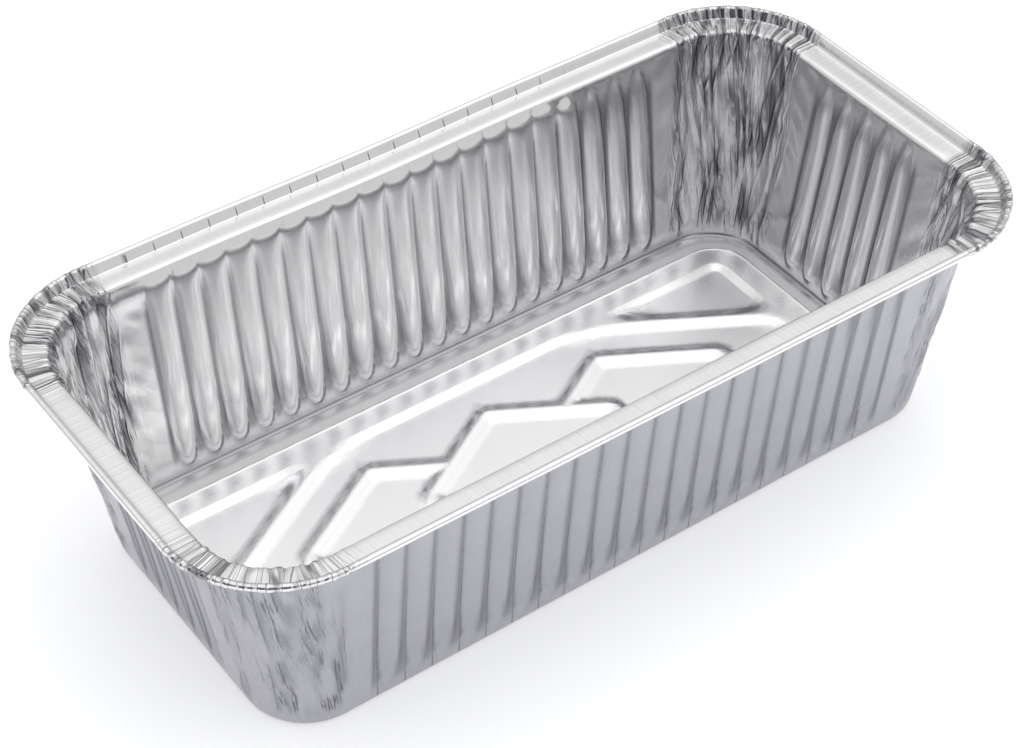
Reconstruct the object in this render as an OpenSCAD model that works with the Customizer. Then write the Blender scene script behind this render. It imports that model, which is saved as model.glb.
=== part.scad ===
// Foil loaf pan: one sheet of aluminium foil pressed into a shallow tapered tray.
// The origin is at the centre of the base, on the surface the pan stands on.
// +X runs along the length of the pan, +Y across it and +Z up.

/* [Rim] */
// Length over the rolled rim
rim_length = 216; // [205:1:260]
// Width over the rolled rim
rim_width = 110; // [102:1:140]
// Height from the surface it stands on to the top of the rim
pan_height = 60; // [45:1:80]
// Diameter of the rolled bead round the rim
bead_d = 1.7; // [1.3:0.1:2.2]
// Width of the flat flange, from the mouth to the foot of its upstand
flange_w = 5.5; // [4:0.1:7]
// Height from the flange to the top of the bead
upstand_h = 2.7; // [2.4:0.1:4]
// How far the upstand leans outwards before it curls into the bead
upstand_lean = 0.8; // [0:0.1:1.2]
// Size of the lip where the wall turns over into the flange
lip_w = 0.9; // [0.5:0.1:1.5]

/* [Walls] */
// Length of the base, measured where floor and walls would meet
base_length = 183; // [170:1:190]
// Width of the base, measured in the same way
base_width = 82; // [76:1:86]
// Corner radius of the base, seen from above
base_corner_r = 15; // [12:0.5:18]
// Corner radius of the mouth, seen from above
mouth_corner_r = 19; // [15:0.5:22]
// Radius where the floor turns up into the walls
foot_r = 2; // [1:0.1:3]
// Thickness of the foil
foil_t = 0.1; // [0.08:0.01:0.2]

/* [Flutes] */
// Distance from one flute to the next
flute_pitch = 7; // [6:0.25:9]
// How far the flutes bulge into the pan
flute_depth = 1.3; // [0.6:0.1:1.8]
// Width of the plain groove between two flutes
groove_w = 1.5; // [0.8:0.1:2.4]
// Least plain wall between the last flute and the corner
flute_margin = 6; // [4:0.5:9]
// Height over which a flute rises out of the wall at its foot
flute_rise = 1.8; // [1:0.1:4]
// Height of the rounded top of a flute
flute_crown = 4.4; // [3:0.1:7]

/* [Corners] */
// Pleats that gather the foil in each corner
corner_pleats = 11; // [8:1:13]
// How far the pleats stand in and out from the corner's curve
pleat_depth = 0.35; // [0.1:0.05:0.5]
// How far the pleats stand up and down on the flange
pleat_lift = 0.25; // [0.1:0.05:0.4]
// How much further the crimped bead stands out at the middle of a corner
crimp_bulge = 0.5; // [0:0.1:0.8]

/* [Floor] */
// Width of the flat ring that the pan stands on, at the long sides
ring_side_w = 6; // [4.5:0.1:7]
// Width of the same ring at the ends
ring_end_w = 4.5; // [4.5:0.1:7]
// Height of the pressed ridges
ridge_h = 0.9; // [0.4:0.1:1.4]
// Width of the flat top of a ridge
ridge_top_w = 1.3; // [0.8:0.1:2]
// Width of the slope at each side of a ridge
ridge_slope_w = 2.3; // [1.5:0.1:3]
// Width of the step from the flat ring up to the border
border_step_w = 0.9; // [0.6:0.1:1.5]
// Width of the flat top of the border
border_top_w = 5.7; // [4:0.1:7]
// Angle of the slanted ridges to the length of the pan
ridge_angle = 30; // [28:1:32]
// Distance from the middle of the floor to the peaks of the zig-zag
peak_y = 16.9; // [15:0.1:17.5]
// Distance between two peaks of the zig-zag
peak_spacing = 33; // [31:0.5:35]
// Where the outer slanted ridges leave the border, from the middle of the floor
outer_ridge_x = 35.7; // [33:0.1:38]

/* [Hidden] */
flange_z = pan_height - upstand_h;
bead_r = bead_d / 2;
bead_out = flange_w + upstand_lean + bead_r;
bead_z = pan_height - bead_r;
base_half = [base_length / 2, base_width / 2];
mouth_half = [rim_length / 2, rim_width / 2] - (bead_out + bead_r) * [1, 1];
mean_lean = (mouth_half[0] - base_half[0] + mouth_half[1] - base_half[1]) / 2;

// The sheet stops in the flat ring, half way to the first crease, and the pressed floor starts there
seam_w = (foot_r + min(ring_side_w, ring_end_w)) / 2;

// The flutes' section: how deep it is at each of five places across a flute
shoulder_depth = 0.75;
shoulder_share = 0.28;
shoulder_x = shoulder_share * (flute_pitch - groove_w);
flute_xs = [groove_w - flute_pitch, -2 * shoulder_x, 0, 2 * shoulder_x, flute_pitch - groove_w] / 2;
flute_shares = [0, shoulder_depth, 1, shoulder_depth, 0];

// The crown of a flute bends once on its way to the lip: at this share of its height, this deep
crown_bend = 1 / 3;
crown_share = 0.6;

// The bead is drawn through these directions from its centre, and its free edge is tucked under it
bead_angles = [190, 90, 45, 0, -75];

// Rank of a column: all rows pass through rank 2, the flutes' own columns are rank 0
FLUTE = 0;
PLEAT = 1;
CORNER = 2;

function mix(a, b, share) = a + (b - a) * share;
function unit(v) = v / norm(v);

// Turns a plan point by quarter turns, so that side k = 0 faces +X, 1 faces +Y and so on
function turned(k, p) =
    k == 0 ? p : k == 1 ? [-p[1], p[0]] : k == 2 ? [-p[0], -p[1]] : [p[1], -p[0]];

// The wall's plan at a height: half sizes grow and the corners open out from base to mouth
function rise(z) = min(z, flange_z) / flange_z;
function reach(k, z) = mix(base_half[k % 2], mouth_half[k % 2], rise(z));
function corner_r(z) = mix(base_corner_r, mouth_corner_r, rise(z));

// A column is [side, place along the side or angle round the corner, flute share, pleat sign, rank]
function is_flute(c) = c[4] == FLUTE;
function flute_count(k) =
    floor((2 * (base_half[(k + 1) % 2] - base_corner_r) - 2 * flute_margin) / flute_pitch);
function side_columns(k) =
    let (n = flute_count(k))
    [for (i = [0:n - 1], j = [0:4])
        [k, (i - (n - 1) / 2) * flute_pitch + flute_xs[j], flute_shares[j], 0, FLUTE]];
function corner_columns(k) =
    let (n = 2 * corner_pleats)
    [for (i = [0:n])
        let (even = i % 2 == 0, end = i == 0 || i == n)
        [k, 90 * i / n, 0, end ? 0 : even ? 1 : -1, even ? CORNER : PLEAT]];
columns = [for (k = [0:3]) each concat(side_columns(k), corner_columns(k))];

// The pleats are full in most of the corner and die out at its two ends
pleat_spread = 1.6;
function pleat_share(angle) = min(1, pleat_spread * sin(2 * angle));

// A row is [out from the wall's plan, height, flute share, pleats in and out, pleats up and down,
// bulge, lowest rank that it passes through]
function foot_row(a) = [foot_r * (sin(a) - 1), foot_r * (1 - cos(a)), 0, 0, 0, 0, CORNER];
function bead_row(a) =
    [bead_out + (bead_r - foil_t) * cos(a), bead_z + (bead_r - foil_t) * sin(a),
     0, pleat_depth, 0, crimp_bulge, PLEAT];
lip_z = flange_z - lip_w;
rows = [
    [-seam_w, 0, 0, 0, 0, 0, CORNER],
    foot_row(0),
    foot_row(45),
    [0, foot_r, 0, 0, 0, 0, FLUTE],
    [0, foot_r + flute_rise, 1, pleat_depth / 2, 0, 0, FLUTE],
    [0, lip_z - flute_crown, 1, pleat_depth, 0, 0, FLUTE],
    [0, lip_z - flute_crown * crown_bend, crown_share, pleat_depth, 0, 0, FLUTE],
    [0, lip_z, 0, pleat_depth, 0, 0, FLUTE],
    [lip_w, flange_z, 0, pleat_depth, 0, 0, PLEAT],
    [flange_w, flange_z, 0, pleat_depth / 2, pleat_lift, crimp_bulge / 2, PLEAT],
    for (a = bead_angles) bead_row(a)
];
last_row = len(rows) - 1;

// The section of the sheet as a plain polyline, and the direction of its thickness at each row
section = [for (r = rows) [r[0] + mean_lean * rise(r[1]), r[1]]];
function across(i) = unit([section[i][1] - section[i + 1][1], section[i + 1][0] - section[i][0]]);
thick_dirs = [for (i = [0:last_row])
    i == 0 ? across(0) : i == last_row ? across(last_row - 1) : unit(across(i - 1) + across(i))];

// A flute is as deep as the row allows, so that its top closes in a rounded arch
function flute_in(c, r) = flute_depth * max(0, c[2] - (1 - r[2]));

// One point of the sheet: skin 0 is the outside and underside, skin 1 the inside and top
function sheet_point(c, i, skin) =
    let (
        r = rows[i],
        share = is_flute(c) ? 0 : pleat_share(c[1]),
        bulge = is_flute(c) ? 0 : r[5] * pow(sin(2 * c[1]), 2),
        out = r[0] + share * c[3] * r[3] + bulge + skin * foil_t * thick_dirs[i][0] - flute_in(c, r),
        z = r[1] + share * c[3] * r[4] + skin * foil_t * thick_dirs[i][1],
        cr = corner_r(r[1]),
        local = is_flute(c)
            ? [reach(c[0], r[1]) + out, c[1]]
            : [reach(c[0], r[1]) - cr + (cr + out) * cos(c[1]),
               reach(c[0] + 1, r[1]) - cr + (cr + out) * sin(c[1])]
    )
    concat(turned(c[0], local), z);

// Each row keeps only the columns that it passes through, as places in the full list
row_columns = [for (r = rows) [for (j = [0:len(columns) - 1]) if (columns[j][4] >= r[6]) j]];
row_sizes = [for (cs = row_columns) len(cs)];
function total(v, n) = n == 0 ? 0 : v[n - 1] + total(v, n - 1);
row_starts = [for (i = [0:last_row + 1]) total(row_sizes, i)];
skin_size = row_starts[last_row + 1];

sheet_points = [for (skin = [0, 1], i = [0:last_row], j = row_columns[i])
    sheet_point(columns[j], i, skin)];

// Two neighbour rows are joined a column at a time, in a fan where one of them skips columns
function fan(low, high, low_start, high_start) =
    let (nl = len(low), nh = len(high), all = len(columns))
    nl == nh
    ? [for (j = [0:nl - 1])
        let (k = (j + 1) % nl)
        each [[low_start + j, low_start + k, high_start + k],
              [low_start + j, high_start + k, high_start + j]]]
    : nl > nh
    ? [for (j = [0:nh - 1])
        let (
            k = (j + 1) % nh,
            first = search(high[j], low)[0],
            steps = (search(high[k], low)[0] - first + nl) % nl
        )
        each concat(
            [for (s = [0:steps - 1])
                [high_start + j, low_start + (first + s) % nl, low_start + (first + s + 1) % nl]],
            [[high_start + j, low_start + (first + steps) % nl, high_start + k]])]
    : [for (t = fan(high, low, high_start, low_start)) [t[0], t[2], t[1]]];

band_faces = [for (i = [0:last_row - 1])
    each fan(row_columns[i], row_columns[i + 1], row_starts[i], row_starts[i + 1])];
function edge_faces(i) =
    let (n = row_sizes[i], s = row_starts[i])
    [for (j = [0:n - 1])
        let (k = (j + 1) % n)
        each [[s + j, skin_size + s + j, skin_size + s + k],
              [s + j, skin_size + s + k, s + k]]];
function flipped(faces) = [for (f = faces) [f[0], f[2], f[1]]];
sheet_faces = concat(
    flipped(band_faces),
    [for (f = band_faces) f + skin_size * [1, 1, 1]],
    flipped(edge_faces(0)),
    edge_faces(last_row)
);

// Flat ring, walls, flange and rolled rim, drawn as one sheet of even thickness
module sheet() {
    polyhedron(points = sheet_points, faces = sheet_faces, convexity = 10);
}

// The floor's outline is the free edge of the sheet
seam = [for (j = row_columns[0])
    let (p = sheet_point(columns[j], 0, 0))
    [p[0], p[1]]];

// A rounded rectangle as a list of plan points
outline_steps = 5;
function outline(half, r) = [for (k = [0:3], i = [0:outline_steps])
    let (a = 90 * i / outline_steps)
    turned(k, [half[k % 2] - r + r * cos(a), half[(k + 1) % 2] - r + r * sin(a)])];

// A block with a flat bottom and top, between two outlines with the same number of points
module block(low, high, z, h) {
    n = len(low);
    polyhedron(
        points = concat([for (p = low) [p[0], p[1], z]], [for (p = high) [p[0], p[1], z + h]]),
        faces = concat(
            [[for (i = [0:n - 1]) i]],
            [[for (i = [0:n - 1]) 2 * n - 1 - i]],
            [for (i = [0:n - 1]) [i, n + i, n + (i + 1) % n, (i + 1) % n]]
        )
    );
}

least_r = 0.5;
ridge_foot_w = ridge_top_w + 2 * ridge_slope_w;
crease_half = base_half - [ring_end_w, ring_side_w];
crease_r = base_corner_r - min(ring_end_w, ring_side_w);
border_half = crease_half - border_step_w * [1, 1];
border_r = max(crease_r - border_step_w, least_r);
field_half = border_half - border_top_w * [1, 1];
field_r = max(border_r - border_top_w, ridge_slope_w + least_r);
low_field_half = field_half - ridge_slope_w * [1, 1];

// A straight ridge between two plan points, standing on the height z
module ridge(from, to, z) {
    run = to - from;
    translate([from[0], from[1], z]) rotate([0, 0, atan2(run[1], run[0])]) rotate([90, 0, 90])
        linear_extrude(height = norm(run))
            polygon([[-ridge_foot_w / 2, 0], [ridge_foot_w / 2, 0],
                     [ridge_top_w / 2, ridge_h], [-ridge_top_w / 2, ridge_h]]);
}

// The rounded end of a ridge, where it meets another at a bend, just wide enough to cover their ends
bend_sides = 24;
module bend(at, z) {
    cover = 1 / cos(180 / bend_sides);
    translate([at[0], at[1], z])
        cylinder(h = ridge_h, r1 = cover * ridge_foot_w / 2, r2 = cover * ridge_top_w / 2,
                 $fn = bend_sides);
}

// The border: a narrow step up from the flat ring, a wide flat top and a ridge's slope inside
module border(z) {
    difference() {
        block(outline(crease_half, crease_r), outline(border_half, border_r), z, ridge_h);
        block(outline(low_field_half, field_r - ridge_slope_w), outline(field_half, field_r),
              z, ridge_h);
    }
}

// The slanted ridges of one quarter, sx and sy giving its side of the middle
module quarter(sx, sy, z) {
    run_x = peak_y / tan(ridge_angle);
    function at(x, y) = [sx * x, sy * y];
    middle_peak = at(0, peak_y);
    diamond_end = at(run_x, 0);
    side_peak = at(peak_spacing, peak_y);
    tip = at(peak_spacing + run_x, 0);
    valley = at(peak_spacing / 2, peak_y - peak_spacing / 2 * tan(ridge_angle));
    border_y = field_half[1] + ridge_top_w / 2;
    border_x = field_half[0] + ridge_top_w / 2;
    ridge(middle_peak, diamond_end, z);
    ridge(valley, side_peak, z);
    ridge(side_peak, tip, z);
    bend(side_peak, z);
    ridge(at(outer_ridge_x, border_y),
          at(border_x, border_y - (border_x - outer_ridge_x) * tan(ridge_angle)), z);
}

// Everything that stands up from the flat of the floor, as solid ridges on the height z
module ridges(z) {
    border(z);
    for (sx = [-1, 1]) {
        for (sy = [-1, 1]) {
            quarter(sx, sy, z);
        }
        bend([sx * peak_y / tan(ridge_angle), 0], z);
        bend([sx * (peak_spacing + peak_y / tan(ridge_angle)), 0], z);
        bend([0, sx * peak_y], z);
    }
}

// The pressed floor: ridges one foil thickness up, hollowed by the same ridges from below
module pressed_floor() {
    difference() {
        union() {
            block(seam, seam, 0, foil_t);
            ridges(foil_t);
        }
        ridges(0);
    }
}

module pan() {
    color("gainsboro") {
        sheet();
        pressed_floor();
    }
}

pan();
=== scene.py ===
# %% [markdown]
# # A foil loaf pan
#
# A disposable loaf pan starts as a flat sheet of aluminium foil about a tenth of a millimetre thick.
# One stroke of a press draws it into a tray: the walls get upright flutes that stiffen them, the floor
# gets slanted ridges, the spare foil of the four corners gathers in pleats, and the rim is rolled into
# a bead. Nothing is joined and nothing is added, so the whole pan is one thin shell.
#
# This lesson rebuilds that shell. A plain sheet with the right section comes first, then a node tree
# that presses the flutes, ridges and pleats into it, and then the metal, the floor and the light.

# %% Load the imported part
import math

import bpy
import numpy as np
from mathutils import Matrix, Vector
from mathutils.geometry import delaunay_2d_cdt
from mathutils.kdtree import KDTree


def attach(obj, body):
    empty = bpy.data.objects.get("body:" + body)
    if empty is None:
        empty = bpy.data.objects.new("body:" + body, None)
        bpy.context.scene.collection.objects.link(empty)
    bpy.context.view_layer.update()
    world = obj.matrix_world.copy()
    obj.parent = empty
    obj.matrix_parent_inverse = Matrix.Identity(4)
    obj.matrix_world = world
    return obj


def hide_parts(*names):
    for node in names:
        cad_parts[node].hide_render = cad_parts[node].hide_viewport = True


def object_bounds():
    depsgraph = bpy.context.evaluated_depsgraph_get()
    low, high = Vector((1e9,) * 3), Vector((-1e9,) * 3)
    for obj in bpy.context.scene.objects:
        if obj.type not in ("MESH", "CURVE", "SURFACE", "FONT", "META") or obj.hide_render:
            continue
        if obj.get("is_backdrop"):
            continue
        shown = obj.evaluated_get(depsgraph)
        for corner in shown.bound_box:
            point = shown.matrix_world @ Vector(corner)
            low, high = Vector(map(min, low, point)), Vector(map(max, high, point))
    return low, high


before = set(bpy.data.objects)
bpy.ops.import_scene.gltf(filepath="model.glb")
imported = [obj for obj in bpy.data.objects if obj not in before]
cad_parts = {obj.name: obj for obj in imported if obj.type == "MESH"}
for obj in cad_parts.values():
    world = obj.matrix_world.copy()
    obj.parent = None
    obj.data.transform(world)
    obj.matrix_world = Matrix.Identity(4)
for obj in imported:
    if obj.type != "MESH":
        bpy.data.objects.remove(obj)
cad_low, cad_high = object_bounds()
MM = 0.001
print("part's box in mm:", [round(v / MM, 2) for v in (*cad_low, *cad_high)])

# %% [markdown]
# ## The camera
#
# A lens and a place are all that a camera needs, and both can be solved from a picture of a thing
# whose size is known. Here the corners of the rim, mouth and base gave them: a long lens, about as
# high above the pan as it is in front of it, looking down across the left near corner.

# %% Camera
IMAGE_W = 1024
FOCAL_PX = 2513.6
SENSOR_W = 36.0
camera_at = Vector((-246.21, -339.42, 411.73)) * MM
camera_heading = math.radians(35.492)
camera_down = math.radians(42.629)
camera_roll = math.radians(-0.215)

camera = bpy.data.objects.new("camera", bpy.data.cameras.new("camera"))
bpy.context.scene.collection.objects.link(camera)
camera.data.sensor_width = SENSOR_W
camera.data.lens = SENSOR_W * FOCAL_PX / IMAGE_W
camera.data.clip_start = 0.01
camera.matrix_world = (
    Matrix.Translation(camera_at)
    @ Matrix.Rotation(-camera_heading, 4, "Z")
    @ Matrix.Rotation(math.pi / 2 - camera_down, 4, "X")
    @ Matrix.Rotation(camera_roll, 4, "Z")
)
bpy.context.scene.camera = camera
print("lens in mm:", round(camera.data.lens, 1))

# %% [markdown]
# ## The section of the sheet
#
# Cut across a wall, the pan is a single bent line: a flat ring to stand on, a rounded foot, a leaning
# wall, a rounded lip, a flat flange, a short upstand and the bead. The line is kept as a list of rows,
# each with its step out from the wall's plan, its height, and the direction in which the press pushes
# the foil there. Rows lie close together only where the line bends or a flute ends.

# %% Sizes of the section
foil_t = 0.1 * MM
bead_r = 0.85 * MM
flange_w = 5.5 * MM
upstand_lean = 0.8 * MM
upstand_h = 2.7 * MM
lip_r = 0.9 * MM
foot_r = 1.2 * MM

rim_half = np.array([cad_high.x, cad_high.y])
pan_h = cad_high.z
flange_z = pan_h - upstand_h
lip_z = flange_z - lip_r
bead_out = flange_w + upstand_lean + bead_r
bead_z = pan_h - bead_r
mouth_half = rim_half - bead_out - bead_r
mouth_r = 19.0 * MM
base_half = np.array([91.5, 41.0]) * MM
base_r = 15.0 * MM
print("mouth in mm:", mouth_half * 2 / MM)

# %% Rows of the section
# A row is [out, height, push outwards, push upwards, zone, passes through every column]
FOOT, WALL, LIP, FLANGE, UPSTAND, BEAD = range(6)


def arc_rows(zone, centre, radius, degrees, hollow):
    """Rows along an arc; hollow is 1 where the foil is pushed towards the arc's centre, -1 away."""
    rows = []
    for degree in degrees:
        c, s = math.cos(math.radians(degree)), math.sin(math.radians(degree))
        rows.append([centre[0] + radius * c, centre[1] + radius * s, -hollow * c, -hollow * s, zone, True])
    return rows


coarse_z = [
    1.2, 1.9, 3, 4.2, 5.8, 8.5, 12.5, 17, 21.5, 26, 30.5, 35, 39.5, 44, 47.5, 50, 51.8, 53.2, 54.4, 55.4,
]
fine_step = 1.35 * MM
wall_rows = []
for low, high in zip(coarse_z, coarse_z[1:] + [lip_z / MM]):
    low, high = low * MM, high * MM
    parts = max(1, round((high - low) / fine_step))
    for part in range(parts):
        wall_rows.append([0, low + (high - low) * part / parts, -1, 0, WALL, part == 0])

upstand_tilt = math.atan2(upstand_lean, bead_z - flange_z)
rows = (
    arc_rows(FOOT, (-foot_r, foot_r), foot_r, (-90, -62, -36, -14), 1)
    + wall_rows
    + arc_rows(LIP, (lip_r, lip_z), lip_r, (180, 150, 120, 90), -1)
    + [[out * MM, flange_z, 0, 1, FLANGE, True] for out in (1.9, 3.1, 4.3, 5.3)]
    + [
        [flange_w + upstand_lean * part, flange_z + (bead_z - flange_z) * part,
         -math.cos(upstand_tilt), math.sin(upstand_tilt), UPSTAND, True]
        for part in (0.12, 0.45, 0.8)
    ]
    + arc_rows(BEAD, (bead_out, bead_z), bead_r - foil_t, range(160, -120, -28), -1)
)
rows = np.array([[float(v) for v in row] for row in rows])
row_shared = rows[:, 5] > 0
print(len(rows), "rows,", int(row_shared.sum()), "of them all round")

# %% [markdown]
# ## The columns round the pan
#
# Round the pan the sheet is cut into columns. A flute repeats every 7 mm, and gets ten columns that
# crowd together at its narrow groove. The corners get many more, because foil that has crumpled needs
# small faces to crease. A column is a place along a side, or an angle round a corner.

# %% Sizes of the columns
flute_pitch = 7.0 * MM
flute_counts = (5, 20)
flute_steps = np.array([0, 0.45, 0.95, 1.7, 2.6, 3.5, 4.4, 5.3, 6.05, 6.55]) * MM
flute_main_steps = (0, 4, 6)
plain_columns = 9
corner_columns = 82
print("a flute's columns in mm:", [round(float(step) / MM, 2) for step in flute_steps])

# %% Columns
# A column is [side, place along it, share of the plain stretch, angle, kind, flute, nearness to corner]
MINOR, MAIN, CORNER = range(3)


def side_columns(side):
    """The columns of one straight side, from its start to its end, anticlockwise from above."""
    count = flute_counts[side % 2]
    span = count * flute_pitch / 2
    columns = []
    for step in range(1, plain_columns):
        share = 1 - step / plain_columns
        columns.append([side, -span, -share, -1, CORNER, -1, share])
    for flute in range(count):
        for i, step in enumerate(flute_steps):
            kind = MAIN if i in flute_main_steps else MINOR
            columns.append([side, -span + flute * flute_pitch + step, 0, -1, kind, flute, 0])
    columns.append([side, span, 0, -1, MAIN, count, 0])
    for step in range(1, plain_columns):
        share = step / plain_columns
        columns.append([side, span, share, -1, CORNER, -1, share])
    return columns


columns = []
for side in range(4):
    columns += side_columns(side)
    columns += [[side, 0, 0, 90 * i / corner_columns, CORNER, -1, 1] for i in range(corner_columns + 1)]
columns = np.array([[float(v) for v in column] for column in columns])
column_kind = columns[:, 4].astype(int)
print(len(columns), "columns")

# %% Places of the sheet's points
def ring(out, height):
    """Plan points of all the columns at a height, the directions outwards there, and the corner radius."""
    rise = min(height, flange_z) / flange_z
    half = base_half + (mouth_half - base_half) * rise
    radius = base_r + (mouth_r - base_r) * rise
    side = columns[:, 0].astype(int)
    near, far = half[side % 2], half[(side + 1) % 2]
    span = np.array(flute_counts)[side % 2] * flute_pitch / 2
    round_corner = columns[:, 3] >= 0
    angle = np.radians(np.where(round_corner, columns[:, 3], 0))
    along = columns[:, 1] + columns[:, 2] * (far - radius - span)
    x = np.where(round_corner, near - radius + (radius + out) * np.cos(angle), near + out)
    y = np.where(round_corner, far - radius + (radius + out) * np.sin(angle), along)
    turn = side * np.pi / 2
    cos, sin = np.round(np.cos(turn)), np.round(np.sin(turn))
    plan = np.stack([x * cos - y * sin, x * sin + y * cos], 1)
    nx, ny = np.cos(angle), np.sin(angle)
    return plan, np.stack([nx * cos - ny * sin, nx * sin + ny * cos], 1)


mouth_plan, _ = ring(0, flange_z)
steps = np.linalg.norm(mouth_plan - np.roll(mouth_plan, 1, axis=0), axis=1)
way = np.cumsum(steps)
# Folds and pleats are drawn along this way, so it starts in the middle of the right end and both ways
# lead to the middle of the left end, where a jump would show least
right_end = (columns[:, 0] == 0) & (columns[:, 3] < 0)
way_start = way[np.argmin(np.where(right_end, np.abs(columns[:, 1]), 1))]
run = np.mod(way - way_start, way[-1])
run = np.minimum(run, way[-1] - run)
print("way round the mouth in mm:", round(float(way[-1]) / MM, 1))

# %% Points and attributes of walls and rim
points, pushes = [], []
fact_names = ("height", "flute_side", "flute_id", "spear", "run", "corner", "zone", "inset")
facts = {name: [] for name in fact_names}


def note_facts(*values):
    """Keep what one point knows about itself, in the order of the names."""
    for name, value in zip(fact_names, values):
        facts[name].append(value)


index = -np.ones((len(rows), len(columns)), int)
half_pitch = flute_pitch / 2
in_flutes = column_kind != CORNER
centre_shift = np.where(columns[:, 0] % 2 == 0, 0.5, 0.0)
flute_side = np.where(
    in_flutes, (np.mod(columns[:, 1] / flute_pitch + centre_shift, 1) - 0.5) * flute_pitch, half_pitch
)
flute_id = np.where(in_flutes, columns[:, 5] + columns[:, 0] * 40, -1)
# At the ends, and towards the right end of the long sides, a flute runs out in a point like a spear's
spear_from, spear_over = 38 * MM, 16 * MM
to_the_right = np.where(columns[:, 0] == 1, -columns[:, 1], columns[:, 1])
spear = np.where(columns[:, 0] % 2 == 0, 1, np.clip((to_the_right - spear_from) / spear_over, 0, 1))

for r, (out, height, push_out, push_up, zone, shared) in enumerate(rows):
    plan, outwards = ring(out, height)
    for c in range(len(columns)):
        if column_kind[c] == MINOR and not (shared and WALL <= zone <= LIP and out <= 0):
            continue
        if column_kind[c] == MAIN and not shared:
            continue
        index[r, c] = len(points)
        points.append((*plan[c], height))
        pushes.append((*(outwards[c] * push_out), push_up))
        note_facts(height, flute_side[c], flute_id[c], spear[c], run[c], columns[c, 6], zone, -1)
print(len(points), "points in walls and rim")

# %% Faces of walls and rim
faces = []
shared_rows = [r for r in range(len(rows)) if row_shared[r]]
for low, high in zip(shared_rows, shared_rows[1:]):
    both = [c for c in range(len(columns)) if index[low, c] >= 0 and index[high, c] >= 0]
    for left, right in zip(both, both[1:] + both[:1]):
        between = range(left, right + 1) if right > left else (left, right)
        rises = [[r for r in range(low, high + 1) if index[r, c] >= 0] for c in (left, right)]
        if len(rises[0]) == len(rises[1]):
            cuts = list(zip(rises[0], rises[0][1:]))
        else:
            cuts = [(low, high)]
        for r0, r1 in cuts:
            bottom = [index[r0, c] for c in between if index[r0, c] >= 0]
            top = [index[r1, c] for c in between if index[r1, c] >= 0]
            up = [index[r, right] for r in range(r0 + 1, r1) if index[r, right] >= 0]
            down = [index[r, left] for r in range(r1 - 1, r0, -1) if index[r, left] >= 0]
            faces.append([int(i) for i in bottom + up + top[::-1] + down])
print(len(faces), "faces in walls and rim")

# %% [markdown]
# ## The floor's points
#
# The pressed floor is flat but for its ridges, so it needs few points on the flats and many along each
# ridge. The points are laid in rows beside every ridge line, in rings along the border, and loosely on
# the flats. A Delaunay triangulation joins them to each other and to the foot of the walls.

# %% Sizes of the floor
ring_w = np.array([4.5, 6.0]) * MM
ridge_h = 0.9 * MM
ridge_top_w = 1.3 * MM
ridge_slope_w = 2.3 * MM
border_step_w = 0.9 * MM
border_top_w = 5.7 * MM
border_line_at = 1.05 * MM
border_line_w = 0.75 * MM
border_line_h = 0.28 * MM
junction_round = 4.5
ridge_tan = math.tan(math.radians(30))
peak_y = 16.9 * MM
peak_spacing = 33.0 * MM
outer_ridge_x = 35.7 * MM

crease_half = base_half - ring_w
crease_r = base_r - min(ring_w)
border_foot_w = border_step_w + border_top_w + ridge_slope_w
field_half = crease_half - border_step_w - border_top_w + ridge_top_w / 2
print("floor inside the ring in mm:", crease_half * 2 / MM)

# %% Ridge lines
peak_run = peak_y / ridge_tan
valley = Vector((peak_spacing / 2, peak_y - peak_spacing / 2 * ridge_tan))
side_peak = Vector((peak_spacing, peak_y))
tip = Vector((peak_spacing + peak_run, 0))
outer_start = Vector((outer_ridge_x, field_half[1]))
outer_end = Vector((field_half[0], field_half[1] - (field_half[0] - outer_ridge_x) * ridge_tan))

ridge_lines = [[(peak_run, 0), (0, peak_y), (-peak_run, 0), (0, -peak_y), (peak_run, 0)]]
for sx in (-1, 1):
    chevron = [valley, side_peak, tip, Vector((side_peak.x, -side_peak.y)), Vector((valley.x, -valley.y))]
    ridge_lines.append([(sx * p.x, p.y) for p in chevron])
    for sy in (-1, 1):
        ridge_lines.append([(sx * p.x, sy * p.y) for p in (outer_start, outer_end)])
print(len(ridge_lines), "ridge lines")

# %% Distances on the floor
def inset_from(plan, half, radius):
    """How far a plan point lies inside a rounded rectangle, below zero outside it."""
    over = np.abs(plan) - (np.array(half) - radius)
    outside = np.linalg.norm(np.maximum(over, 0), axis=1)
    return radius - outside - np.minimum(np.max(over, axis=1), 0)


def ridge_distance(plan):
    """Distance of each plan point to the nearest ridge line."""
    nearest = np.full(len(plan), 1.0)
    for line in ridge_lines:
        for a, b in zip(line, line[1:]):
            a, b = np.array(a), np.array(b)
            share = np.clip((plan - a) @ (b - a) / ((b - a) @ (b - a)), 0, 1)
            nearest = np.minimum(nearest, np.linalg.norm(plan - a - share[:, None] * (b - a), axis=1))
    return nearest


# %% Points along ridges, border and flats
ridge_spacing = 1.15 * MM
flat_spacing = 2.6 * MM
ring_spacing = 1.7 * MM
row_offsets = np.array([0, 0.55, 0.75, 1.8, 2.85, 3.05, 3.9]) * MM
border_insets = np.array([-2.2, -0.15, 0.1, 0.75, 1.05, 1.4, 1.8, 4.0, 6.4, 6.8, 7.8, 8.7, 9.1]) * MM


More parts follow.
